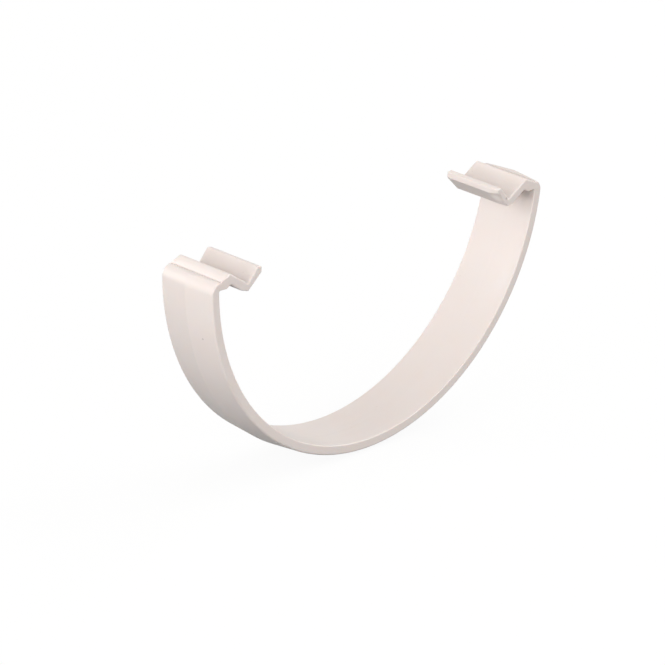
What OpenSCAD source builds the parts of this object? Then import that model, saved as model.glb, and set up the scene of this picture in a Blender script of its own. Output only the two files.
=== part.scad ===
// Half-round gutter bracket: a strap moulded in one piece that passes under a
// gutter and snaps over both of its rims.
// X runs across the gutter, Y along it and Z up. The origin is the centre of
// the half-round seat, halfway along the strap's width.

/* [Gutter] */
// Outside radius of the half-round gutter that lies in the strap
gutter_r = 62.5; // [45:0.5:90]
// Clearance between the gutter and the strap's bearing edges
seat_gap = 0.1; // [0:0.05:0.5]
// Width of the rim space between the strap's wall and the heel of the hook
rim_w = 8.7; // [7:0.1:10]

/* [Strap] */
// Width of the strap along the gutter
strap_w = 18.7; // [12:0.1:36]
// Wall of the strap at its two long edges
wall_t = 2.7; // [2:0.1:3.6]
// Height of the ridge along the middle of the outside
ridge_h = 0.8; // [0.1:0.05:1.2]
// Depth of the shallow vee along the middle of the inside
vee_d = 0.35; // [0.05:0.05:0.6]
// Chamfer of the strap's long edges
edge_c = 0.3; // [0.1:0.05:0.6]

/* [Corner] */
// Depth of the hook's roof below the centre of the half-round
roof_drop = 2.15; // [1:0.05:4]
// Thickness of the roof over the rim space
roof_t = 2.4; // [2:0.1:2.8]
// How far the outside corner's radius exceeds the wall
corner_extra = 0.3; // [0.2:0.05:0.8]
// Slope of the flat that takes the ridge down to the crease, in degrees
ridge_fade = 5; // [2:0.5:15]
// Radius of the fine groove along the crease
crease_r = 0.25; // [0.1:0.05:0.4]

/* [Hook] */
// Inner wall to the crest, measured inwards
crest_s = 4; // [3.5:0.05:5]
// Rise of the crest above the roof
crest_rise = 1.6; // [1:0.05:2.5]
// Inner wall to the bottom of the trough
trough_s = 11; // [10.5:0.05:12]
// Depth of the trough below the roof
trough_drop = 2.8; // [2:0.05:3.4]
// Thickness of the sloping leg between crest and trough
leg_t = 2.5; // [2:0.05:2.8]
// Inner wall to the end of the flat ceiling of the rim space
ceiling_s = 2.85; // [2:0.05:3.4]
// Inner wall to the highest point under the crest
peak_s = 4.5; // [4:0.05:5.2]
// Inner wall to the tip of the snap lip's root
tip_s = 11.2; // [10.5:0.05:12.5]
// Depth of the tip below the roof
tip_drop = 5.05; // [4.6:0.05:6]

/* [Snap lip] */
// Rise of the lip above the trough
lip_rise = 3.95; // [2.5:0.05:6]
// Angle at which the lip's inner face rises, in degrees
lip_angle = 49; // [40:1:65]
// Width of the lip's top
lip_w = 1.5; // [1.2:0.05:2.5]
// Fall of the lip's top towards its nose
lip_fall = 0.3; // [0.1:0.05:0.6]
// Height of the lip's upright nose
nose_h = 1.55; // [0.8:0.05:2]

/* [Rounding] */
// Radius along the crest
crest_round = 0.8; // [0.4:0.05:1]
// Radius of the fillets in the trough and under the crest
fillet_r = 0.4; // [0.2:0.05:0.6]
// Radius of the hook's other edges
hook_round = 0.3; // [0.15:0.05:0.4]

/* [Hidden] */
$fn = 180;
strap_colour = [0.90, 0.87, 0.84];
round_step = 15; // largest turn between neighbouring points of a rounded corner
over = 1; // how far cutters run past what they cut
seam = 0.02; // how far the corner's faces lie inside the strap's where they join

// The seat, the strap's outside and the half width
seat_r = gutter_r + seat_gap;
outer_r = seat_r + wall_t;
half_w = strap_w / 2;

// The outside corner: an arc that touches the strap's outside and the roof
corner_r = wall_t + corner_extra;
roof_z = -roof_drop;
corner_z = roof_z - corner_r;
corner_x = sqrt(pow(outer_r - corner_r, 2) - pow(corner_z, 2));
corner_a = atan2(-corner_z, corner_x);
crease = [corner_x, roof_z];

// The hook's outline, as [x, z], for the hook on the +X side
crest = [seat_r - crest_s, roof_z + crest_rise];
trough = [seat_r - trough_s, roof_z - trough_drop];
leg_slope = (crest.y - trough.y) / (crest.x - trough.x);
leg_drop = leg_t * sqrt(1 + pow(leg_slope, 2));
function under_leg(s) = [seat_r - s, crest.y - (s - crest_s) * leg_slope - leg_drop];
lip_in = trough + [-lip_rise / tan(lip_angle), lip_rise];
lip_out = lip_in - [lip_w, lip_fall];
nose = lip_out - [0, nose_h];
tip = [seat_r - tip_s, roof_z - tip_drop];
heel = under_leg(rim_w);
peak = under_leg(peak_s);
ceiling_z = roof_z - roof_t;
ceiling_end = [seat_r - ceiling_s, ceiling_z];

// The outline is closed inside the corner's solid. It leaves the crease on the
// line from the crest, and the ceiling on the line from the peak.
root = crease + (crease - crest) / 4;
below_ceiling = ceiling_end + (ceiling_end - peak) / 2;
in_wall = [seat_r + wall_t / 2, below_ceiling.y];

// Each corner of the hook as [place, radius], in order from the crest inwards
hook_corners = [
    [crest, crest_round], [trough, fillet_r], [lip_in, hook_round],
    [lip_out, hook_round], [nose, hook_round], [tip, hook_round],
    [heel, hook_round], [peak, fillet_r], [below_ceiling, 0], [in_wall, 0], [root, 0]
];

// The strap's section as [radius, y]: its outside and its seat, for faces at radius r
function outside(r) = [
    [r - edge_c, -half_w], [r, edge_c - half_w], [r + ridge_h, 0],
    [r, half_w - edge_c], [r - edge_c, half_w]
];
function seat(r) = [
    [r + edge_c, half_w], [r, half_w - edge_c], [r + vee_d, 0],
    [r, edge_c - half_w], [r + edge_c, -half_w]
];

// The points of an outline whose corners are rounded to their radii
function rounded(corners) = let (n = len(corners)) [
    for (i = [0 : n - 1])
        each round_off(corners[(i + n - 1) % n][0], corners[i], corners[(i + 1) % n][0])
];
function round_off(last, corner, next) = let (
    here = corner[0],
    r = corner[1],
    to_last = unit(last - here),
    to_next = unit(next - here),
    half_a = acos(to_last * to_next) / 2,
    middle = unit(to_last + to_next),
    steps = ceil((180 - 2 * half_a) / round_step)
) r == 0 ? [here] : [
    for (k = [0 : steps])
        let (a = (90 - half_a) * (1 - 2 * k / steps), across = unit(to_last - to_next))
            here + middle * (r / sin(half_a) - r * cos(a)) + across * r * sin(a)
];
function unit(v) = v / norm(v);

// Turns a revolve or an extrusion so that its axis lies along Y
module along_gutter() rotate([90, 0, 0]) children();

// The half-round part of the strap, between the two outside corners
module half_round() {
    along_gutter() rotate(180 + corner_a)
        rotate_extrude(angle = 180 - 2 * corner_a)
            polygon(concat(outside(outer_r), seat(seat_r)));
}

// The outside corner, which carries the ridge round to the crease. It reaches
// down into the strap and in under the crest.
module outside_corner() {
    reach = 20;
    section = concat([[0, -half_w]], outside(corner_r - seam), [[0, half_w]]);
    difference() {
        translate([corner_x, 0, corner_z]) along_gutter() rotate(-corner_a - reach)
            rotate_extrude(angle = 90 + corner_a + 1.5 * reach) polygon(section);
        translate([corner_x, 0, roof_z]) rotate([0, -ridge_fade, 0])
            translate([-wall_t, -strap_w, 0]) cube([3 * wall_t, 2 * strap_w, corner_r]);
    }
}

// The hook over the gutter's rim: roof, crest, sloping leg and snap lip
module hook() {
    along_gutter() linear_extrude(strap_w, center = true) polygon(rounded(hook_corners));
}

// The gutter's own space below the ceiling, where it meets the hook
module rim_space() {
    deep = 2 * corner_r;
    intersection() {
        along_gutter() rotate(-2 * corner_a - 5)
            rotate_extrude(angle = 2 * corner_a + 5)
                polygon(concat(
                    [[0, half_w + over], [seat_r + edge_c + over, half_w + over]],
                    seat(seat_r + seam),
                    [[seat_r + edge_c + over, -half_w - over], [0, -half_w - over]]
                ));
        translate([peak.x, -strap_w, ceiling_z - deep])
            cube([outer_r - peak.x, 2 * strap_w, deep]);
    }
}

// One end of the strap: the corner and the hook, on the +X side
module strap_end() {
    difference() {
        union() {
            outside_corner();
            hook();
        }
        rim_space();
        translate([crease.x, 0, crease.y]) along_gutter()
            cylinder(r = crease_r, h = strap_w + 2 * over, center = true);
    }
}

// The whole bracket
module gutter_strap() {
    color(strap_colour) {
        half_round();
        strap_end();
        mirror([1, 0, 0]) strap_end();
    }
}

gutter_strap();
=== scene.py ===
"""A half-round gutter bracket: one strap moulded in rigid uPVC, dressed and lit.

The strap passes under a half-round gutter and snaps over both of its rims. Its
section is a rule: one closed outline, swept across the width with a low ridge
outside, a shallow vee inside and softened long edges. Sizes in the dataclasses
are in millimetres, and everything that is built is in metres.
"""

import logging
import math
from dataclasses import dataclass, field
from enum import Enum
from typing import Any, Iterable, Mapping, Sequence

import bpy
from mathutils import Matrix, Vector


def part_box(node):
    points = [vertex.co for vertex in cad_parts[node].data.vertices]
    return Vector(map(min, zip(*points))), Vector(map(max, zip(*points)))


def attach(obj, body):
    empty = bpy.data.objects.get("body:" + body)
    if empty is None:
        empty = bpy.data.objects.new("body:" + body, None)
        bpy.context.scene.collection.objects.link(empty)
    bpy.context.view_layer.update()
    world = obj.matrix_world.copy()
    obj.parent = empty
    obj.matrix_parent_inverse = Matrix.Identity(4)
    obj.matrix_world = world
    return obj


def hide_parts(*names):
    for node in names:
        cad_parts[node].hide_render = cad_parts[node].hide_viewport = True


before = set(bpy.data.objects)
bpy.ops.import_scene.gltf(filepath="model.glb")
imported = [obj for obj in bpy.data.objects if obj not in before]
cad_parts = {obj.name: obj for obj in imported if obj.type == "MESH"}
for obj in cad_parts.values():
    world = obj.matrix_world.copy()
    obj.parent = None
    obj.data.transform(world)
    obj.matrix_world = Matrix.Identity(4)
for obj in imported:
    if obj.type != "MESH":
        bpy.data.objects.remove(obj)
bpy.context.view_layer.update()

CAD_NODE = "gutter_strap"

MM = 0.001  # metres
FREE = 10.0  # millimetres, more rounding than any edge takes
WHITE = (1.0, 1.0, 1.0, 1.0)
SRGB_KNEE, SRGB_SLOPE, SRGB_OFFSET, SRGB_POWER = 0.04045, 12.92, 0.055, 2.4
NOISE_MIDDLE = 0.5  # noise runs from 0 to 1
SENSOR_MM = 36.0
CLIP_M = (0.05, 50.0)

log = logging.getLogger("gutter_bracket")


def linear(colour: str) -> tuple[float, float, float, float]:
    """Turns an sRGB hex colour into the linear values that a shader takes.

    Args:
        colour: Six hex digits, with or without a leading #.

    Returns:
        Linear red, green, blue and an alpha of one.
    """
    digits = colour.lstrip("#")
    channels = []
    for start in (0, 2, 4):
        value = int(digits[start:start + 2], 16) / 255
        if value <= SRGB_KNEE:
            channels.append(value / SRGB_SLOPE)
        else:
            channels.append(((value + SRGB_OFFSET) / (1 + SRGB_OFFSET)) ** SRGB_POWER)
    return (channels[0], channels[1], channels[2], 1.0)


def add_node(
    tree: bpy.types.NodeTree,
    kind: str,
    settings: Mapping[str, Any] | None = None,
    inputs: Mapping[int | str, Any] | None = None,
) -> bpy.types.Node:
    """Adds a node with its settings, and fills or links its inputs.

    Args:
        tree: The tree that gets the node.
        kind: The node's type name.
        settings: Properties to set on the node, by name.
        inputs: Values or output sockets for its inputs, by name or index.

    Returns:
        The new node.
    """
    node = tree.nodes.new(kind)
    for name, value in (settings or {}).items():
        setattr(node, name, value)
    for key, value in (inputs or {}).items():
        if isinstance(value, bpy.types.NodeSocket):
            tree.links.new(value, node.inputs[key])
        else:
            node.inputs[key].default_value = value
    return node


# ---------------------------------------------------------------- the outline


@dataclass(frozen=True)
class StrapSizes:
    """The strap's sizes in millimetres, under the names that the solid's source gives them.

    The ridge's fade and the lip's angle are in degrees.
    """

    seat_r: float = 62.6
    wall_t: float = 2.7
    half_w: float = 9.35
    ridge_h: float = 0.8
    vee_d: float = 0.35
    roof_drop: float = 2.15
    roof_t: float = 2.4
    corner_r: float = 3.0
    ridge_fade: float = 5.0
    crease_r: float = 0.25
    crest_s: float = 4.0
    crest_rise: float = 1.6
    trough_s: float = 11.0
    trough_drop: float = 2.8
    leg_t: float = 2.5
    rim_w: float = 8.7
    ceiling_s: float = 2.85
    peak_s: float = 4.5
    tip_s: float = 11.2
    tip_drop: float = 5.05
    lip_rise: float = 3.95
    lip_angle: float = 49.0
    lip_w: float = 1.5
    lip_fall: float = 0.3
    nose_h: float = 1.55

    @property
    def outer_r(self) -> float:
        """Radius of the strap's outside at its long edges."""
        return self.seat_r + self.wall_t

    @property
    def corner_drop(self) -> float:
        """Depth of the outside corner's centre below the centre of the half-round."""
        return self.roof_drop + self.corner_r

    @property
    def corner_x(self) -> float:
        """Distance across the gutter to the outside corner's centre, and so to the crease."""
        return math.sqrt((self.outer_r - self.corner_r) ** 2 - self.corner_drop ** 2)

    @property
    def ceiling_angle(self) -> float:
        """Angle at which the seat meets the rim space's ceiling, in degrees."""
        return -math.degrees(math.asin((self.roof_drop + self.roof_t) / self.seat_r))

    @classmethod
    def from_box(cls, low: Vector, high: Vector) -> "StrapSizes":
        """Takes the seat radius and the half width from the solid's box.

        Args:
            low: The box's lowest corner, in metres.
            high: The box's highest corner, in metres.

        Returns:
            Sizes whose strap fills the box.
        """
        seat_r = -low.z / MM - cls.ridge_h - cls.wall_t
        return cls(seat_r=seat_r, half_w=(high.y - low.y) / MM / 2)


def still() -> Vector:
    """No movement."""
    return Vector((0.0, 0.0))


@dataclass
class OutlinePoint:
    """One point of the strap's outline, in millimetres, as (x, z).

    Attributes:
        place: Where the point is at the strap's long edges.
        rise: How far the point moves from there to the middle of the width.
        share: The most of that movement that the crease's flat leaves.
        limit: The largest edge rounding that the point's own curve allows.
        hollow: 1 where the movement follows the seat's soft hollow, 0 where it is straight.
        pared: Which way the point moves per unit of paring at the near end of the right lip.
    """

    place: Vector
    rise: Vector = field(default_factory=still)
    share: float = 1.0
    limit: float = FREE
    hollow: float = 0.0
    pared: Vector = field(default_factory=still)


@dataclass(frozen=True)
class StrapOutline:
    """The closed outline of the strap, seen along the gutter.

    Attributes:
        sizes: The strap's sizes.
        arc_step: Turn between neighbouring points of the half-round, in degrees.
        corner_step: Largest turn between points of the outside corner, in degrees.
        round_step: Largest turn between points of a small rounded corner, in degrees.
        groove_steps: Points round the crease's groove.
        crest_round: Radius along the crest, in millimetres.
        fillet_r: Radius in the trough, under the crest and inside the seat's corner.
        hook_round: Radius of the hook's other edges.
        ceiling_round: Radius at the end of the rim space's ceiling.
        seat_soft: Largest edge rounding along the seat.
        tip_share: How much of the nose's paring the lip's tip takes.
        lead: How far off the seat corner's two sides are read, in millimetres along the
            ceiling and in degrees down the seat.
        seat_skip: Turn left free between that corner and the seat's first point, in degrees.
    """

    sizes: StrapSizes
    arc_step: float = 0.5
    corner_step: float = 3.0
    round_step: float = 9.0
    groove_steps: int = 12
    crest_round: float = 0.8
    fillet_r: float = 0.4
    hook_round: float = 0.3
    ceiling_round: float = 0.12
    seat_soft: float = 0.36
    tip_share: float = 0.2
    lead: float = 2.0
    seat_skip: float = 0.1

    def polar(self, radius: float, angle: float) -> Vector:
        """A point at a radius and an angle above the +X axis, in degrees."""
        return Vector((math.cos(math.radians(angle)), math.sin(math.radians(angle)))) * radius

    def rounded(
        self, before: Vector, corner: Vector, after: Vector, radius: float
    ) -> list[Vector]:
        """Rounds one corner of the outline.

        Args:
            before: The outline's point before the corner.
            corner: The sharp corner.
            after: The outline's point after it.
            radius: The radius of the rounding.

        Returns:
            The rounding's points, in order.
        """
        back, on = (before - corner).normalized(), (after - corner).normalized()
        half = math.acos(max(-1.0, min(1.0, back.dot(on)))) / 2
        middle, across = (back + on).normalized(), (back - on).normalized()
        steps = max(2, math.ceil((180 - 2 * math.degrees(half)) / self.round_step))
        centre = corner + middle * (radius / math.sin(half))
        swing = math.pi / 2 - half
        return [
            centre - middle * radius * math.cos(a) + across * radius * math.sin(a)
            for a in (swing * (1 - 2 * k / steps) for k in range(steps + 1))
        ]

    def outside(self) -> list[OutlinePoint]:
        """The half-round's outside, from the bottom to the outside corner."""
        s = self.sizes
        stop = -math.degrees(math.asin(s.corner_drop / (s.outer_r - s.corner_r)))
        count = round((stop + 90) / self.arc_step)
        angles = [-90 + (stop + 90) * k / count for k in range(count + 1)]
        return [
            OutlinePoint(self.polar(s.outer_r, a), self.polar(s.ridge_h, a)) for a in angles
        ]

    def corner(self) -> list[OutlinePoint]:
        """The outside corner, where a flat takes the ridge down to the crease."""
        s = self.sizes
        centre = Vector((s.corner_x, -s.corner_drop))
        start = -math.degrees(math.atan2(s.corner_drop, centre.x))
        stop = 90 - math.degrees(s.crease_r / s.corner_r)
        count = math.ceil((stop - start) / self.corner_step)
        fade = math.tan(math.radians(s.ridge_fade))
        points = []
        for k in range(1, count + 1):
            angle = start + (stop - start) * k / count
            turn = math.radians(angle)
            reach = math.sin(turn) - fade * math.cos(turn)
            room = s.corner_r / reach - s.corner_r if reach > 0 else FREE
            points.append(
                OutlinePoint(
                    centre + self.polar(s.corner_r, angle),
                    self.polar(s.ridge_h, angle),
                    max(0.0, min(1.0, room / s.ridge_h)),
                    s.corner_r,
                )
            )
        return points

    def groove(self, crease: Vector, crest: Vector) -> list[OutlinePoint]:
        """The fine groove along the crease, between the corner and the panel up to the crest.

        Args:
            crease: Where the roof's line meets the panel.
            crest: Where the panel ends.

        Returns:
            The groove's points, from the corner's side to the panel's.
        """
        r = self.sizes.crease_r
        rise = math.degrees(math.atan2(crest.y - crease.y, crest.x - crease.x))
        count = self.groove_steps
        return [
            OutlinePoint(crease + self.polar(r, 360 + (rise - 360) * k / count), limit=r)
            for k in range(1, count + 1)
        ]

    def hook(self) -> list[OutlinePoint]:
        """The crest, the sloping leg, the snap lip and the ceiling, in from the crease."""
        s = self.sizes
        roof = -s.roof_drop
        crease = Vector((s.corner_x, roof))
        crest = Vector((s.seat_r - s.crest_s, roof + s.crest_rise))
        trough = Vector((s.seat_r - s.trough_s, roof - s.trough_drop))
        slope = (crest.y - trough.y) / (crest.x - trough.x)
        below = s.leg_t * math.hypot(1, slope)

        def under(inwards: float) -> Vector:
            """A point on the leg's underside, that far in from the seat."""
            return Vector((s.seat_r - inwards, crest.y - (inwards - s.crest_s) * slope - below))

        lip_in = trough + Vector((-s.lip_rise / math.tan(math.radians(s.lip_angle)), s.lip_rise))
        lip_out = lip_in - Vector((s.lip_w, s.lip_fall))
        nose = lip_out - Vector((0, s.nose_h))
        tip = Vector((s.seat_r - s.tip_s, roof - s.tip_drop))
        ceiling = Vector((s.seat_r - s.ceiling_s, roof - s.roof_t))
        inside = self.polar(s.seat_r, s.ceiling_angle)
        into_lip = Vector((nose.y - tip.y, tip.x - nose.x)).normalized()
        corners = [
            (crest, self.crest_round, still()),
            (trough, self.fillet_r, still()),
            (lip_in, self.hook_round, still()),
            (lip_out, self.hook_round, still()),
            (nose, self.hook_round, into_lip),
            (tip, self.hook_round, into_lip * self.tip_share),
            (under(s.rim_w), self.hook_round, still()),
            (under(s.peak_s), self.fillet_r, still()),
            (ceiling, self.ceiling_round, still()),
        ]
        line = [crease] + [place for place, _, _ in corners] + [inside]
        points = self.groove(crease, crest)
        for before, (place, radius, pared), after in zip(line, corners, line[2:]):
            turn = self.rounded(before, place, after, radius)
            first, last = place - before, after - place
            convex = first.x * last.y - first.y * last.x > 0
            limit = radius if convex else FREE
            points += [OutlinePoint(p, limit=limit, pared=pared) for p in turn]
        return points

    def seat(self) -> list[OutlinePoint]:
        """The seat, from the inside corner under the ceiling down to the bottom."""
        s = self.sizes
        start = s.ceiling_angle
        inside = self.polar(s.seat_r, start)
        below = self.polar(s.seat_r, start - self.lead)
        turn = self.rounded(inside - Vector((self.lead, 0)), inside, below, self.fillet_r)
        begin = start - math.degrees((turn[-1] - inside).length / s.seat_r) - self.seat_skip
        count = round((begin + 90) / self.arc_step)
        angles = [begin - (begin + 90) * k / count for k in range(count + 1)]
        last = len(turn) - 1
        moves = [(p, self.polar(s.vee_d * k / last, start)) for k, p in enumerate(turn)]
        moves += [(self.polar(s.seat_r, a), self.polar(s.vee_d, a)) for a in angles]
        return [
            OutlinePoint(place, rise, limit=self.seat_soft, hollow=1.0) for place, rise in moves
        ]

    def closed(self) -> list[OutlinePoint]:
        """The whole outline, from the outside's bottom by way of the seat's bottom and back.

        The left half mirrors the right one, without its paring.
        """
        right = self.outside() + self.corner() + self.hook() + self.seat()
        mirror = [
            OutlinePoint(
                Vector((-p.place.x, p.place.y)),
                Vector((-p.rise.x, p.rise.y)),
                p.share,
                p.limit,
                p.hollow,
            )
            for p in reversed(right[1:-1])
        ]
        return right + mirror


# ------------------------------------------------------------------ the finish


@dataclass(frozen=True)
class Mark:
    """One mark on the skin.

    Attributes:
        place: Its middle, in millimetres.
        radius: Where it has faded out, in millimetres.
        strength: How far its middle takes the mark's own colour, from 0 to 1.
        colour: Its sRGB colour.
    """

    place: tuple[float, float, float]
    radius: float
    strength: float
    colour: str


# The first colour is for real scuffs and flecks. The pale second colour is painted light for the
# pared lip.
SCUFF, PAINTED_LIGHT = "#94867C", "#F8F3EF"


@dataclass(frozen=True)
class RigidUpvc:
    """Injection-moulded rigid uPVC in warm white, straight from a satin tool.

    The tool's satin leaves broad soft highlights, the pigment is even with the
    faintest clouding, and handling leaves fine flecks and a few scuffs. A paler
    patch on the lip's pared near end is painted light, which lightens that facet.

    Attributes:
        name: The material's name.
        colour: Its sRGB colour.
        cloud: The sRGB colour that the clouding leans towards.
        speck: The sRGB colour of the flecks.
        roughness: The skin's roughness.
        rough_swing: How far the flow lines move that roughness either way.
        flow_range: The part of the flow noise that the swing is spread over.
        ior: Refractive index of the resin.
        shine: Level of the mirror-like reflection.
        glow: Share of the light that travels under the skin.
        glow_mm: How far its red, green and blue travel.
        cloud_mm: Size of the clouds.
        flow_mm: Width of the flow lines that run round the strap.
        flow_stretch: Scale of the flow noise along the strap, as a share of that across it.
        grain_mm: Size of the tool's satin grain, drawn as coarse as it needs to show.
        grain_strength: Strength of that grain.
        grain_depth_mm: Its depth.
        fleck_mm: Spacing of the places where a fleck may be.
        fleck_keep: A place has a fleck where its random tone is above this.
        fleck_fade: Where a fleck starts to fade and where it has gone, in spacings.
        fleck_strength: How far a fleck's middle takes its own colour.
        mark_core: Share of a mark's radius that keeps its full strength.
        marks: The marks that this strap carries.
    """

    name: str = "moulded_uPVC_warm_white"
    colour: str = "#E3DBD8"
    cloud: str = "#E4D9D3"
    speck: str = SCUFF
    roughness: float = 0.3
    rough_swing: float = 0.01
    flow_range: tuple[float, float] = (0.3, 0.7)
    ior: float = 1.5
    shine: float = 0.35
    glow: float = 0.15
    glow_mm: tuple[float, float, float] = (0.9, 0.5, 0.3)
    cloud_mm: float = 9.0
    flow_mm: float = 1.1
    flow_stretch: float = 0.03
    grain_mm: float = 0.35
    grain_strength: float = 0.06
    grain_depth_mm: float = 0.02
    fleck_mm: float = 2.6
    fleck_keep: float = 0.72
    fleck_fade: tuple[float, float] = (0.02, 0.07)
    fleck_strength: float = 0.35
    mark_core: float = 0.25
    marks: tuple[Mark, ...] = (
        Mark((-62.81, -4.6, -19.32), 0.36, 0.6, SCUFF),
        Mark((50.6, -9.35, -4.5), 0.55, 0.5, SCUFF),
        Mark((51.1, -9.35, -3.4), 0.45, 0.4, SCUFF),
        Mark((52.2, -9.35, -4.1), 0.4, 0.4, SCUFF),
        Mark((50.7, -9.35, -6.5), 0.55, 0.4, SCUFF),
        # Painted light: a pale patch that lightens the pared near end of the right lip.
        Mark((48.8, -7.3, -4.7), 2.6, 0.9, PAINTED_LIGHT),
    )

    def build(self) -> bpy.types.Material:
        """Builds the node material.

        Returns:
            The finished material.
        """
        material = bpy.data.materials.new(self.name)
        material.use_nodes = True
        tree = material.node_tree
        tree.nodes.clear()
        place = add_node(tree, "ShaderNodeTexCoord").outputs["Object"]
        tone = self.flecked(tree, place, self.clouded(tree, place))
        for mark in self.marks:
            tone = self.marked(tree, place, tone, mark)
        stretch = (self.flow_stretch, 1.0, self.flow_stretch)
        along = add_node(
            tree, "ShaderNodeMapping", {}, {"Vector": place, "Scale": stretch}
        ).outputs[0]
        flow = self.noise(tree, along, self.flow_mm, {"Detail": 2.0})
        rough = add_node(
            tree,
            "ShaderNodeMapRange",
            {},
            {
                "Value": flow,
                "From Min": self.flow_range[0],
                "From Max": self.flow_range[1],
                "To Min": self.roughness - self.rough_swing,
                "To Max": self.roughness + self.rough_swing,
            },
        ).outputs[0]
        grain = self.noise(tree, place, self.grain_mm, {"Detail": 2.0})
        bump = add_node(
            tree,
            "ShaderNodeBump",
            {},
            {
                "Height": grain,
                "Strength": self.grain_strength,
                "Distance": self.grain_depth_mm * MM,
            },
        ).outputs[0]
        shader = add_node(
            tree,
            "ShaderNodeBsdfPrincipled",
            {},
            {
                "Base Color": tone,
                "Roughness": rough,
                "IOR": self.ior,
                "Specular IOR Level": self.shine,
                "Subsurface Weight": self.glow,
                "Subsurface Radius": self.glow_mm,
                "Subsurface Scale": MM,
                "Normal": bump,
            },
        ).outputs[0]
        add_node(tree, "ShaderNodeOutputMaterial", {}, {"Surface": shader})
        return material

    def noise(
        self,
        tree: bpy.types.NodeTree,
        place: bpy.types.NodeSocket,
        size_mm: float,
        settings: Mapping[str, float],
    ) -> bpy.types.NodeSocket:
        """Adds noise of a real size.

        Args:
            tree: The material's tree.
            place: The place that the noise is read at.
            size_mm: The size of its features, in millimetres.
            settings: Its other inputs, by name.

        Returns:
            The noise, from 0 to 1.
        """
        inputs = {"Vector": place, "Scale": 1 / (size_mm * MM), **settings}
        return add_node(
            tree, "ShaderNodeTexNoise", {"noise_dimensions": "3D"}, inputs
        ).outputs[0]

    def blend(
        self,
        tree: bpy.types.NodeTree,
        share: bpy.types.NodeSocket,
        colour: bpy.types.NodeSocket | tuple[float, ...],
        other: str,
    ) -> bpy.types.NodeSocket:
        """Mixes a share of another sRGB colour into a colour."""
        inputs = {0: share, 6: colour, 7: linear(other)}
        return add_node(tree, "ShaderNodeMix", {"data_type": "RGBA"}, inputs).outputs[2]

    def clouded(
        self, tree: bpy.types.NodeTree, place: bpy.types.NodeSocket
    ) -> bpy.types.NodeSocket:
        """The pigment's colour with its faint clouding."""
        clouds = self.noise(tree, place, self.cloud_mm, {"Detail": 3.0, "Roughness": 0.55})
        return self.blend(tree, clouds, linear(self.colour), self.cloud)

    def flecked(
        self,
        tree: bpy.types.NodeTree,
        place: bpy.types.NodeSocket,
        tone: bpy.types.NodeSocket,
    ) -> bpy.types.NodeSocket:
        """Adds the fine flecks that handling leaves.

        Args:
            tree: The material's tree.
            place: The place on the object.
            tone: The colour so far.

        Returns:
            The colour with the flecks.
        """
        spots = add_node(
            tree,
            "ShaderNodeTexVoronoi",
            {"voronoi_dimensions": "3D", "feature": "F1"},
            {"Vector": place, "Scale": 1 / (self.fleck_mm * MM)},
        ).outputs
        keep = add_node(
            tree,
            "ShaderNodeMath",
            {"operation": "GREATER_THAN"},
            {0: spots["Color"], 1: self.fleck_keep},
        ).outputs[0]
        mask = self.spot(tree, spots["Distance"], self.fleck_fade, self.fleck_strength)
        mask = add_node(
            tree, "ShaderNodeMath", {"operation": "MULTIPLY"}, {0: mask, 1: keep}
        ).outputs[0]
        return self.blend(tree, mask, tone, self.speck)

    def marked(
        self,
        tree: bpy.types.NodeTree,
        place: bpy.types.NodeSocket,
        tone: bpy.types.NodeSocket,
        mark: Mark,
    ) -> bpy.types.NodeSocket:
        """Adds one mark.

        Args:
            tree: The material's tree.
            place: The place on the object.
            tone: The colour so far.
            mark: The mark.

        Returns:
            The colour with the mark.
        """
        away = add_node(
            tree,
            "ShaderNodeVectorMath",
            {"operation": "DISTANCE"},
            {0: place, 1: tuple(c * MM for c in mark.place)},
        ).outputs["Value"]
        fade = (self.mark_core * mark.radius * MM, mark.radius * MM)
        here = self.spot(tree, away, fade, mark.strength)
        return self.blend(tree, here, tone, mark.colour)

    def spot(
        self,
        tree: bpy.types.NodeTree,
        away: bpy.types.NodeSocket,
        fade: tuple[float, float],
        strength: float,
    ) -> bpy.types.NodeSocket:
        """Fades a strength out smoothly between two distances from a spot's middle."""
        return add_node(
            tree,
            "ShaderNodeMapRange",
            {"interpolation_type": "SMOOTHSTEP"},
            {
                "Value": away,
                "From Min": fade[0],
                "From Max": fade[1],
                "To Min": strength,
                "To Max": 0.0,
            },
        ).outputs[0]


# ------------------------------------------------------------------- the strap


class Attribute(Enum):
    """The named values that the outline's points hand to the sweep."""

    OUTWARD = "outward"
    RISE = "rise"
    SHARE = "share"
    SOFT = "soft"
    HOLLOW = "hollow"
    PARED = "pared"


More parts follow.
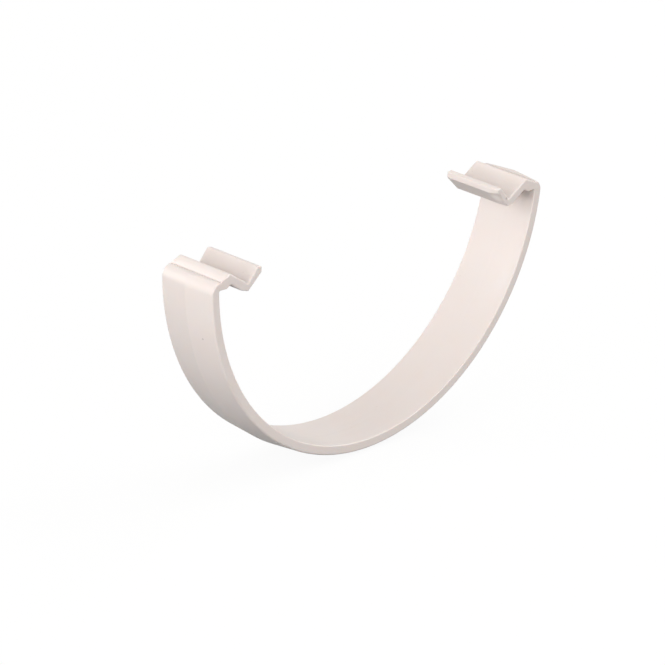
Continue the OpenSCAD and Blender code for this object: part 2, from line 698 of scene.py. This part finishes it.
@dataclass
class GutterStrap:
    """The strap, moulded in one piece: half-round, corners, hooks and snap lips.

    Attributes:
        sizes: The strap's sizes in millimetres.
        edge_r: Rounding of the long edges.
        edge_steps: Faces across each rounding.
        half_steps: Faces from the rounding to the middle of the width.
        bunch: How much closer together those faces lie towards the middle, as a power.
        wave_h: The moulded faces wander from true by up to half of this, either way.
        wave_mm: The length of that wandering.
        pare_mm: How far from the near end the right lip is pared, and how deep at the end.
        hollow: The seat's hollow from its long edge (0) to the middle of the width (1), as
            (place, share of the depth): a flat bearing land, a short ramp, a soft dish and
            a fine raised line.
        limit_share: Share of a small curve's own radius that an edge rounding may take.
        taper: Most that the rounding changes along the outline, per unit of length.
        taper_passes: How often that rule goes round the outline.
        mitre_floor: Holds the outward step back at a sharp corner.
        weld_mm: Points closer than this become one.
        name: The strap's name.
    """

    sizes: StrapSizes
    finish: RigidUpvc
    edge_r: float = 0.5
    edge_steps: int = 6
    half_steps: int = 22
    bunch: float = 1.4
    wave_h: float = 0.02
    wave_mm: float = 14.0
    pare_mm: tuple[float, float] = (3.0, 0.8)
    hollow: tuple[tuple[float, float], ...] = (
        (0.0, 0.0),
        (0.11, 0.05),
        (0.21, 0.17),
        (0.32, 0.40),
        (0.44, 0.64),
        (0.57, 0.83),
        (0.79, 0.96),
        (0.93, 1.0),
        (0.965, 0.93),
        (1.0, 0.91),
    )
    limit_share: float = 0.92
    taper: float = 0.5
    taper_passes: int = 2
    mitre_floor: float = 0.2
    weld_mm: float = 0.001
    name: str = "strap"

    def outwards(self, points: Sequence[OutlinePoint]) -> list[Vector]:
        """Finds the step that moves each point's two sides out by one unit.

        Args:
            points: The outline's points, in order.

        Returns:
            One step for each point.
        """
        steps = []
        for k, point in enumerate(points):
            arrive = (point.place - points[k - 1].place).normalized()
            leave = (points[(k + 1) % len(points)].place - point.place).normalized()
            first, last = Vector((arrive.y, -arrive.x)), Vector((leave.y, -leave.x))
            steps.append((first + last) / max(self.mitre_floor, 1 + first.dot(last)))
        return steps

    def roundings(self, points: Sequence[OutlinePoint]) -> list[float]:
        """Finds how far each point's long edge is rounded, with no sudden change along it.

        Args:
            points: The outline's points, in order.

        Returns:
            One radius for each point, in millimetres.
        """
        count = len(points)
        lengths = [
            (points[(k + 1) % count].place - p.place).length for k, p in enumerate(points)
        ]
        soft = [min(self.edge_r, p.limit * self.limit_share) for p in points]
        for _ in range(self.taper_passes):
            for k in range(count):
                soft[k] = min(soft[k], soft[k - 1] + self.taper * lengths[k - 1])
            for k in reversed(range(count)):
                soft[k] = min(soft[k], soft[(k + 1) % count] + self.taper * lengths[k])
        return soft

    def outline_object(self, points: Sequence[OutlinePoint]) -> bpy.types.Object:
        """Makes the closed outline as a wire, with the values that the sweep reads.

        Args:
            points: The outline's points, in order.

        Returns:
            An object whose mesh is one closed loop of edges in its own XY plane.
        """
        count = len(points)
        mesh = bpy.data.meshes.new(self.name)
        mesh.from_pydata(
            [(p.place.x * MM, p.place.y * MM, 0) for p in points],
            [(k, (k + 1) % count) for k in range(count)],
            [],
        )
        directions = (
            (Attribute.OUTWARD, [(v.x, v.y, 0) for v in self.outwards(points)]),
            (Attribute.RISE, [(p.rise.x * MM, p.rise.y * MM, 0) for p in points]),
            (Attribute.PARED, [(p.pared.x, p.pared.y, 0) for p in points]),
        )
        for attribute, steps in directions:
            layer = mesh.attributes.new(attribute.value, "FLOAT_VECTOR", "POINT")
            layer.data.foreach_set("vector", [c for step in steps for c in step])
        amounts = (
            (Attribute.SHARE, [p.share for p in points]),
            (Attribute.HOLLOW, [p.hollow for p in points]),
            (Attribute.SOFT, [radius * MM for radius in self.roundings(points)]),
        )
        for attribute, values in amounts:
            layer = mesh.attributes.new(attribute.value, "FLOAT", "POINT")
            layer.data.foreach_set("value", values)
        made = bpy.data.objects.new(self.name, mesh)
        bpy.context.scene.collection.objects.link(made)
        return made

    def sweep_tree(self) -> bpy.types.GeometryNodeTree:
        """Builds the rule that sweeps the outline across the strap's width.

        Returns:
            A geometry node tree with named inputs for its sizes.
        """
        tree = bpy.data.node_groups.new("strap_sweep", "GeometryNodeTree")
        face = tree.interface
        face.new_socket(name="Outline", in_out="INPUT", socket_type="NodeSocketGeometry")
        for name, kind in (
            ("Half Width", "NodeSocketFloat"),
            ("Edge Steps", "NodeSocketInt"),
            ("Half Steps", "NodeSocketInt"),
            ("Bunch", "NodeSocketFloat"),
            ("Wave Height", "NodeSocketFloat"),
            ("Wave Length", "NodeSocketFloat"),
            ("Pare Length", "NodeSocketFloat"),
            ("Pare Depth", "NodeSocketFloat"),
            ("Finish", "NodeSocketMaterial"),
        ):
            face.new_socket(name=name, in_out="INPUT", socket_type=kind)
        face.new_socket(name="Strap", in_out="OUTPUT", socket_type="NodeSocketGeometry")
        given = add_node(tree, "NodeGroupInput").outputs

        def maths(operation: str, *values: Any) -> bpy.types.NodeSocket:
            """One scalar step of the rule, as its output socket."""
            inputs = dict(enumerate(values))
            return add_node(tree, "ShaderNodeMath", {"operation": operation}, inputs).outputs[0]

        def vectors(operation: str, **values: Any) -> bpy.types.NodeSocket:
            """Adds one vector step of the rule.

            Args:
                operation: The vector operation.
                values: Its inputs, as a, b and scale.

            Returns:
                The step's output socket.
            """
            sockets = {"a": 0, "b": 1, "scale": "Scale"}
            inputs = {sockets[key]: value for key, value in values.items()}
            return add_node(
                tree, "ShaderNodeVectorMath", {"operation": operation}, inputs
            ).outputs[0]

        def named(attribute: Attribute, kind: str) -> bpy.types.NodeSocket:
            """Reads one of the outline's values in its own context."""
            return add_node(
                tree,
                "GeometryNodeInputNamedAttribute",
                {"data_type": kind},
                {"Name": attribute.value},
            ).outputs[0]

        # A grid with a row for each point of the outline, the first one twice, and
        # stations across the width
        outline = given["Outline"]
        count = add_node(
            tree, "GeometryNodeAttributeDomainSize", {"component": "MESH"}, {0: outline}
        ).outputs[0]
        half = maths("ADD", given["Edge Steps"], given["Half Steps"])
        stations = maths("ADD", maths("MULTIPLY", half, 2.0), 1.0)
        grid = add_node(
            tree,
            "GeometryNodeMeshGrid",
            {},
            {"Vertices X": maths("ADD", count, 1.0), "Vertices Y": stations},
        ).outputs[0]
        index = add_node(tree, "GeometryNodeInputIndex").outputs[0]
        safe = 0.5  # keeps the division off whole numbers, where rounding could slip a row
        row = maths("FLOOR", maths("DIVIDE", maths("ADD", index, safe), stations))
        station = maths("SUBTRACT", index, maths("MULTIPLY", row, stations))
        source = maths("FLOORED_MODULO", row, count)

        def sampled(value: bpy.types.NodeSocket, kind: str) -> bpy.types.NodeSocket:
            """Fetches one of the outline's values for the sweep's own points."""
            return add_node(
                tree,
                "GeometryNodeSampleIndex",
                {"data_type": kind, "domain": "POINT"},
                {0: outline, 1: value, 2: source},
            ).outputs[0]

        def carried(attribute: Attribute, kind: str) -> bpy.types.NodeSocket:
            """Reads one of the outline's values for the sweep's own points."""
            return sampled(named(attribute, kind), kind)

        def shaped(kind: str, **inputs: Any) -> bpy.types.NodeSocket:
            """One step on a geometry, as its output socket. Underscores stand for spaces."""
            given_to = {key.replace("_", " "): value for key, value in inputs.items()}
            return add_node(tree, f"GeometryNode{kind}", {}, given_to).outputs[0]

        place = sampled(add_node(tree, "GeometryNodeInputPosition").outputs[0], "FLOAT_VECTOR")
        outward = carried(Attribute.OUTWARD, "FLOAT_VECTOR")
        rise = carried(Attribute.RISE, "FLOAT_VECTOR")
        share = carried(Attribute.SHARE, "FLOAT")
        soft = carried(Attribute.SOFT, "FLOAT")
        hollow = carried(Attribute.HOLLOW, "FLOAT")
        pared = carried(Attribute.PARED, "FLOAT_VECTOR")

        # From a long edge inwards: a quarter turn of the rounding, then the flat half
        signed = maths("SUBTRACT", station, half)
        inwards = maths("SUBTRACT", half, maths("ABSOLUTE", signed))
        rounded = maths("MINIMUM", maths("DIVIDE", inwards, given["Edge Steps"]), 1.0)
        turn = maths("MULTIPLY", rounded, math.pi / 2)
        past = maths("SUBTRACT", inwards, given["Edge Steps"])
        across = maths("MAXIMUM", maths("DIVIDE", past, given["Half Steps"]), 0.0)
        lost = maths("MULTIPLY", soft, maths("SUBTRACT", 1.0, maths("COSINE", turn)))
        edge = maths("SUBTRACT", given["Half Width"], lost)
        bunched = maths("POWER", maths("SUBTRACT", 1.0, across), given["Bunch"])
        offset = maths("MULTIPLY", edge, bunched)
        inset = maths("MULTIPLY", soft, maths("SUBTRACT", 1.0, maths("SINE", turn)))

        # How far each station has come towards the middle, straight or by the hollow
        middle = maths("SUBTRACT", 1.0, maths("DIVIDE", offset, given["Half Width"]))
        curve = add_node(tree, "ShaderNodeFloatCurve", {}, {"Value": middle})
        line = curve.mapping.curves[0]
        line.points[0].location = self.hollow[0]
        line.points[len(line.points) - 1].location = self.hollow[-1]
        for x, y in self.hollow[1:-1]:
            line.points.new(x, y)
        curve.mapping.update()
        bed = add_node(
            tree,
            "ShaderNodeMix",
            {"data_type": "FLOAT"},
            {0: hollow, 2: middle, 3: curve.outputs[0]},
        ).outputs[0]
        up = vectors("SCALE", a=rise, scale=maths("MINIMUM", bed, share))

        # The wandering of the moulded faces, which stops at the end faces
        read_at = vectors("ADD", a=place, b=vectors("SCALE", a=(0, 0, 1), scale=offset))
        fineness = maths("DIVIDE", 1.0, given["Wave Length"])
        wave = add_node(
            tree,
            "ShaderNodeTexNoise",
            {"noise_dimensions": "3D"},
            {"Vector": read_at, "Scale": fineness, "Detail": 1.0},
        ).outputs[0]
        wander = maths("MULTIPLY", maths("SUBTRACT", wave, NOISE_MIDDLE), given["Wave Height"])
        sway = maths("MULTIPLY", wander, maths("SINE", turn))

        # The paring, a ramp up to the near end
        beside = maths("MULTIPLY", maths("SIGN", signed), offset)
        begin = maths("SUBTRACT", given["Half Width"], given["Pare Length"])
        nearing = maths("DIVIDE", maths("SUBTRACT", beside, begin), given["Pare Length"])
        ramp = maths("MAXIMUM", nearing, 0.0)
        cut = vectors("SCALE", a=pared, scale=maths("MULTIPLY", ramp, given["Pare Depth"]))

        swelling = vectors("SCALE", a=outward, scale=maths("SUBTRACT", sway, inset))
        out = vectors("ADD", a=swelling, b=cut)
        side = add_node(tree, "ShaderNodeCombineXYZ", {}, {"Z": beside}).outputs[0]
        spot = vectors("ADD", a=vectors("ADD", a=place, b=side), b=vectors("ADD", a=out, b=up))
        moved = shaped("SetPosition", Geometry=grid, Position=spot)
        skin = shaped("SetShadeSmooth", Geometry=moved, Shade_Smooth=True)

        def end_face(
            depth: bpy.types.NodeSocket | float, height: bpy.types.NodeSocket
        ) -> bpy.types.NodeSocket:
            """Fills one end face inside its rounding and lifts it to its place.

            Args:
                depth: How deep the right lip is pared there.
                height: Where the face lies across the width.

            Returns:
                The end face's geometry.
            """
            back = maths("MULTIPLY", named(Attribute.SOFT, "FLOAT"), -1.0)
            inside = vectors("SCALE", a=named(Attribute.OUTWARD, "FLOAT_VECTOR"), scale=back)
            paring = vectors("SCALE", a=named(Attribute.PARED, "FLOAT_VECTOR"), scale=depth)
            shift = vectors("ADD", a=inside, b=paring)
            loop = shaped("MeshToCurve", Mesh=shaped("SetPosition", Geometry=outline, Offset=shift))
            filled = add_node(
                tree, "GeometryNodeFillCurve", {"mode": "TRIANGLES"}, {0: loop}
            ).outputs[0]
            flat = shaped("SetShadeSmooth", Geometry=filled, Shade_Smooth=False)
            lift = add_node(tree, "ShaderNodeCombineXYZ", {}, {"Z": height}).outputs[0]
            return shaped("SetPosition", Geometry=flat, Offset=lift)

        near = end_face(given["Pare Depth"], given["Half Width"])
        far = end_face(0.0, maths("MULTIPLY", given["Half Width"], -1.0))
        joined = add_node(tree, "GeometryNodeJoinGeometry")
        for part in (skin, near, shaped("FlipFaces", Mesh=far)):
            tree.links.new(part, joined.inputs[0])
        welded = shaped(
            "MergeByDistance", Geometry=joined.outputs[0], Distance=self.weld_mm * MM
        )
        stood = shaped("Transform", Geometry=welded, Rotation=(math.pi / 2, 0, 0))
        real = shaped("RealizeInstances", Geometry=stood)
        dressed = shaped("SetMaterial", Geometry=real, Material=given["Finish"])
        add_node(tree, "NodeGroupOutput", {}, {0: dressed})
        return tree

    def build(self) -> bpy.types.Object:
        """Sweeps the outline into the strap and hands it to the frame.

        Returns:
            The strap as a plain mesh object that rides on the root body.
        """
        source = self.outline_object(StrapOutline(self.sizes).closed())
        tree = self.sweep_tree()
        modifier = source.modifiers.new("sweep", "NODES")
        modifier.node_group = tree
        sockets = {
            item.name: item.identifier
            for item in tree.interface.items_tree
            if item.in_out == "INPUT"
        }
        for name, value in (
            ("Half Width", self.sizes.half_w * MM),
            ("Edge Steps", self.edge_steps),
            ("Half Steps", self.half_steps),
            ("Bunch", self.bunch),
            ("Wave Height", self.wave_h * MM),
            ("Wave Length", self.wave_mm * MM),
            ("Pare Length", self.pare_mm[0] * MM),
            ("Pare Depth", self.pare_mm[1] * MM),
            ("Finish", self.finish.build()),
        ):
            modifier[sockets[name]] = value
        graph = bpy.context.evaluated_depsgraph_get()
        mesh = bpy.data.meshes.new_from_object(source.evaluated_get(graph), depsgraph=graph)
        bpy.data.objects.remove(source)
        mesh.name = self.name
        strap = bpy.data.objects.new(self.name, mesh)
        bpy.context.scene.collection.objects.link(strap)
        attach(strap, "root")
        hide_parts(CAD_NODE)
        return strap


# ------------------------------------------------------------------ the studio


@dataclass(frozen=True)
class Softbox:
    """A soft area light that faces the object.

    Attributes:
        name: What the light is called.
        azimuth: Where it stands, in degrees, as the camera's azimuth is counted.
        elevation: How high it stands above the horizon, in degrees.
        power: Its power in watts.
        size: The width of its face, in metres.
        height: The height of its face, in metres.
        distance: How far it stands from the object, in metres.
    """

    name: str
    azimuth: float
    elevation: float
    power: float
    size: float = 1.2
    height: float = 1.2
    distance: float = 1.6

    def build(self, aim: Vector) -> bpy.types.Object:
        """Places the light.

        Args:
            aim: The point that it faces.

        Returns:
            The light's object.
        """
        lamp = bpy.data.lights.new(self.name, "AREA")
        lamp.shape, lamp.size, lamp.size_y = "RECTANGLE", self.size, self.height
        lamp.energy = self.power
        made = bpy.data.objects.new(self.name, lamp)
        back = direction(self.azimuth, self.elevation)
        made.location = aim + back * self.distance
        made.rotation_euler = back.to_track_quat("Z", "Y").to_euler()
        bpy.context.scene.collection.objects.link(made)
        return made


def direction(azimuth: float, elevation: float) -> Vector:
    """The unit vector from the object towards a place round it, both angles in degrees."""
    a, e = math.radians(azimuth), math.radians(elevation)
    return Vector((math.sin(a) * math.cos(e), -math.cos(a) * math.cos(e), math.sin(e)))


@dataclass(frozen=True)
class Viewpoint:
    """The camera, by its angles, distance and lens.

    Attributes:
        azimuth: 0 looks along +Y, in degrees.
        elevation: Above the horizon, in degrees.
        roll: Turn about its own axis, in degrees.
        distance: From the point it looks at, in millimetres.
        lens: Focal length for a 36 mm sensor, in millimetres.
        aim: Where it looks, from the centre of the object's box, in millimetres.
    """

    azimuth: float = -48.194
    elevation: float = 21.470
    roll: float = 3.575
    distance: float = 1515.96
    lens: float = 303.886
    aim: tuple[float, float, float] = (-6.988, 0.0, 0.643)

    def build(self, centre: Vector) -> bpy.types.Object:
        """Places the camera and makes it the scene's.

        Args:
            centre: The centre of the object's box, in metres.

        Returns:
            The camera's object.
        """
        camera = bpy.data.objects.new("camera", bpy.data.cameras.new("camera"))
        camera.data.lens, camera.data.sensor_width = self.lens, SENSOR_MM
        camera.data.clip_start, camera.data.clip_end = CLIP_M
        back = direction(self.azimuth, self.elevation)
        a, r = math.radians(self.azimuth), math.radians(self.roll)
        level = Vector((math.cos(a), math.sin(a), 0))
        over = back.cross(level)
        right = level * math.cos(r) + over * math.sin(r)
        up = over * math.cos(r) - level * math.sin(r)
        spot = centre + Vector(self.aim) * MM + back * self.distance * MM
        turn = Matrix((right, up, back)).transposed().to_4x4()
        camera.matrix_world = Matrix.Translation(spot) @ turn
        bpy.context.scene.collection.objects.link(camera)
        bpy.context.scene.camera = camera
        return camera


@dataclass
class Studio:
    """A plain white floor, a white surround and soft light.

    Attributes:
        low: The lowest corner of the solid's box, in metres.
        high: Its highest corner.
        camera: The camera.
        ambient: Strength of the surround's even light.
        ambient_colour: Its sRGB colour.
        floor_colour: The sRGB colour that the floor has for all but the camera.
        floor_white: How far the camera sees the floor as plain white.
        floor_gloss: How far the strap's reflections see it so.
        floor_half: Half of the floor's side, in metres.
        floor_gap_mm: How far the floor lies below the strap.
        lights: The soft lights.
    """

    low: Vector
    high: Vector
    camera: Viewpoint = Viewpoint()
    ambient: float = 0.41
    ambient_colour: str = "#FFFBF6"
    floor_colour: str = "#3C3B3A"
    floor_white: float = 0.93
    floor_gloss: float = 0.45
    floor_half: float = 3.0
    floor_gap_mm: float = 0.05
    lights: tuple[Softbox, ...] = (
        Softbox("left_softbox", -90, 14, 11.6),
        Softbox("left_low_strip", -88, 3, 6.5, 1.2, 0.23),
        Softbox("front_softbox", -25, 5, 20.5),
        Softbox("back_softbox", -143, 5, 5.5),
        Softbox("rim_softbox", -165, 4, 12.0),
        Softbox("right_softbox", 50, 35, 7.5),
        Softbox("right_high_softbox", 90, 42, 8.6),
    )

    def world(self) -> bpy.types.World:
        """Surrounds the object with even light that the camera sees as white."""
        world = bpy.data.worlds.new("surround")
        world.use_nodes = True
        tree = world.node_tree
        tree.nodes.clear()
        path = add_node(tree, "ShaderNodeLightPath").outputs
        shown = path["Is Camera Ray"]
        for ray in ("Is Glossy Ray", "Is Transmission Ray"):
            shown = add_node(
                tree, "ShaderNodeMath", {"operation": "MAXIMUM"}, {0: shown, 1: path[ray]}
            ).outputs[0]
        strength = add_node(
            tree,
            "ShaderNodeMapRange",
            {},
            {"Value": shown, "To Min": self.ambient, "To Max": 1.0},
        ).outputs[0]
        tone = add_node(
            tree,
            "ShaderNodeMix",
            {"data_type": "RGBA"},
            {0: shown, 6: linear(self.ambient_colour), 7: WHITE},
        ).outputs[2]
        light = add_node(
            tree, "ShaderNodeBackground", {}, {"Color": tone, "Strength": strength}
        ).outputs[0]
        add_node(tree, "ShaderNodeOutputWorld", {}, {"Surface": light})
        bpy.context.scene.world = world
        return world

    def floor(self) -> bpy.types.Object:
        """Lays the floor just under the strap. The camera sees it white, with a shadow."""
        half, height = self.floor_half, self.low.z - self.floor_gap_mm * MM
        corners = ((-half, -half), (half, -half), (half, half), (-half, half))
        mesh = bpy.data.meshes.new("floor")
        mesh.from_pydata([(x, y, height) for x, y in corners], [], [(0, 1, 2, 3)])
        material = bpy.data.materials.new("matt_white_vinyl_floor")
        material.use_nodes = True
        tree = material.node_tree
        tree.nodes.clear()
        path = add_node(tree, "ShaderNodeLightPath").outputs
        shown = add_node(
            tree,
            "ShaderNodeMath",
            {"operation": "MAXIMUM"},
            {0: path["Is Camera Ray"], 1: path["Is Transmission Ray"]},
        ).outputs[0]
        share = add_node(
            tree, "ShaderNodeMath", {"operation": "MULTIPLY"}, {0: shown, 1: self.floor_white}
        ).outputs[0]
        share = add_node(
            tree,
            "ShaderNodeMath",
            {"operation": "MULTIPLY_ADD"},
            {0: path["Is Glossy Ray"], 1: self.floor_gloss, 2: share},
        ).outputs[0]
        tone = add_node(
            tree,
            "ShaderNodeMix",
            {"data_type": "RGBA"},
            {0: shown, 6: linear(self.floor_colour), 7: WHITE},
        ).outputs[2]
        matt = add_node(tree, "ShaderNodeBsdfDiffuse", {}, {"Color": tone}).outputs[0]
        white = add_node(
            tree, "ShaderNodeEmission", {}, {"Color": WHITE, "Strength": 1.0}
        ).outputs[0]
        mix = add_node(
            tree, "ShaderNodeMixShader", {}, {0: share, 1: matt, 2: white}
        ).outputs[0]
        add_node(tree, "ShaderNodeOutputMaterial", {}, {"Surface": mix})
        mesh.materials.append(material)
        floor = bpy.data.objects.new("floor", mesh)
        bpy.context.scene.collection.objects.link(floor)
        return floor

    def build(self) -> None:
        """Sets up the surround, the floor, the lights and the camera."""
        centre = (self.low + self.high) / 2
        self.world()
        self.floor()
        for light in self.lights:
            light.build(centre)
        self.camera.build(centre)
        bpy.context.scene.view_settings.view_transform = "Standard"


# ------------------------------------------------------------------------ main


def report(pieces: Iterable[bpy.types.Object]) -> None:
    """Logs each piece with its count of faces.

    Args:
        pieces: The finished pieces.
    """
    for piece in pieces:
        mesh = piece.data
        log.info("%s: %d vertices, %d faces", piece.name, len(mesh.vertices), len(mesh.polygons))


def main() -> None:
    """Builds the strap and the studio in order, and reports them."""
    logging.basicConfig(level=logging.INFO, format="%(name)s: %(message)s")
    low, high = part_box(CAD_NODE)
    strap = GutterStrap(StrapSizes.from_box(low, high), RigidUpvc())
    report([strap.build()])
    Studio(low, high).build()


if __name__ == "__main__":
    main()
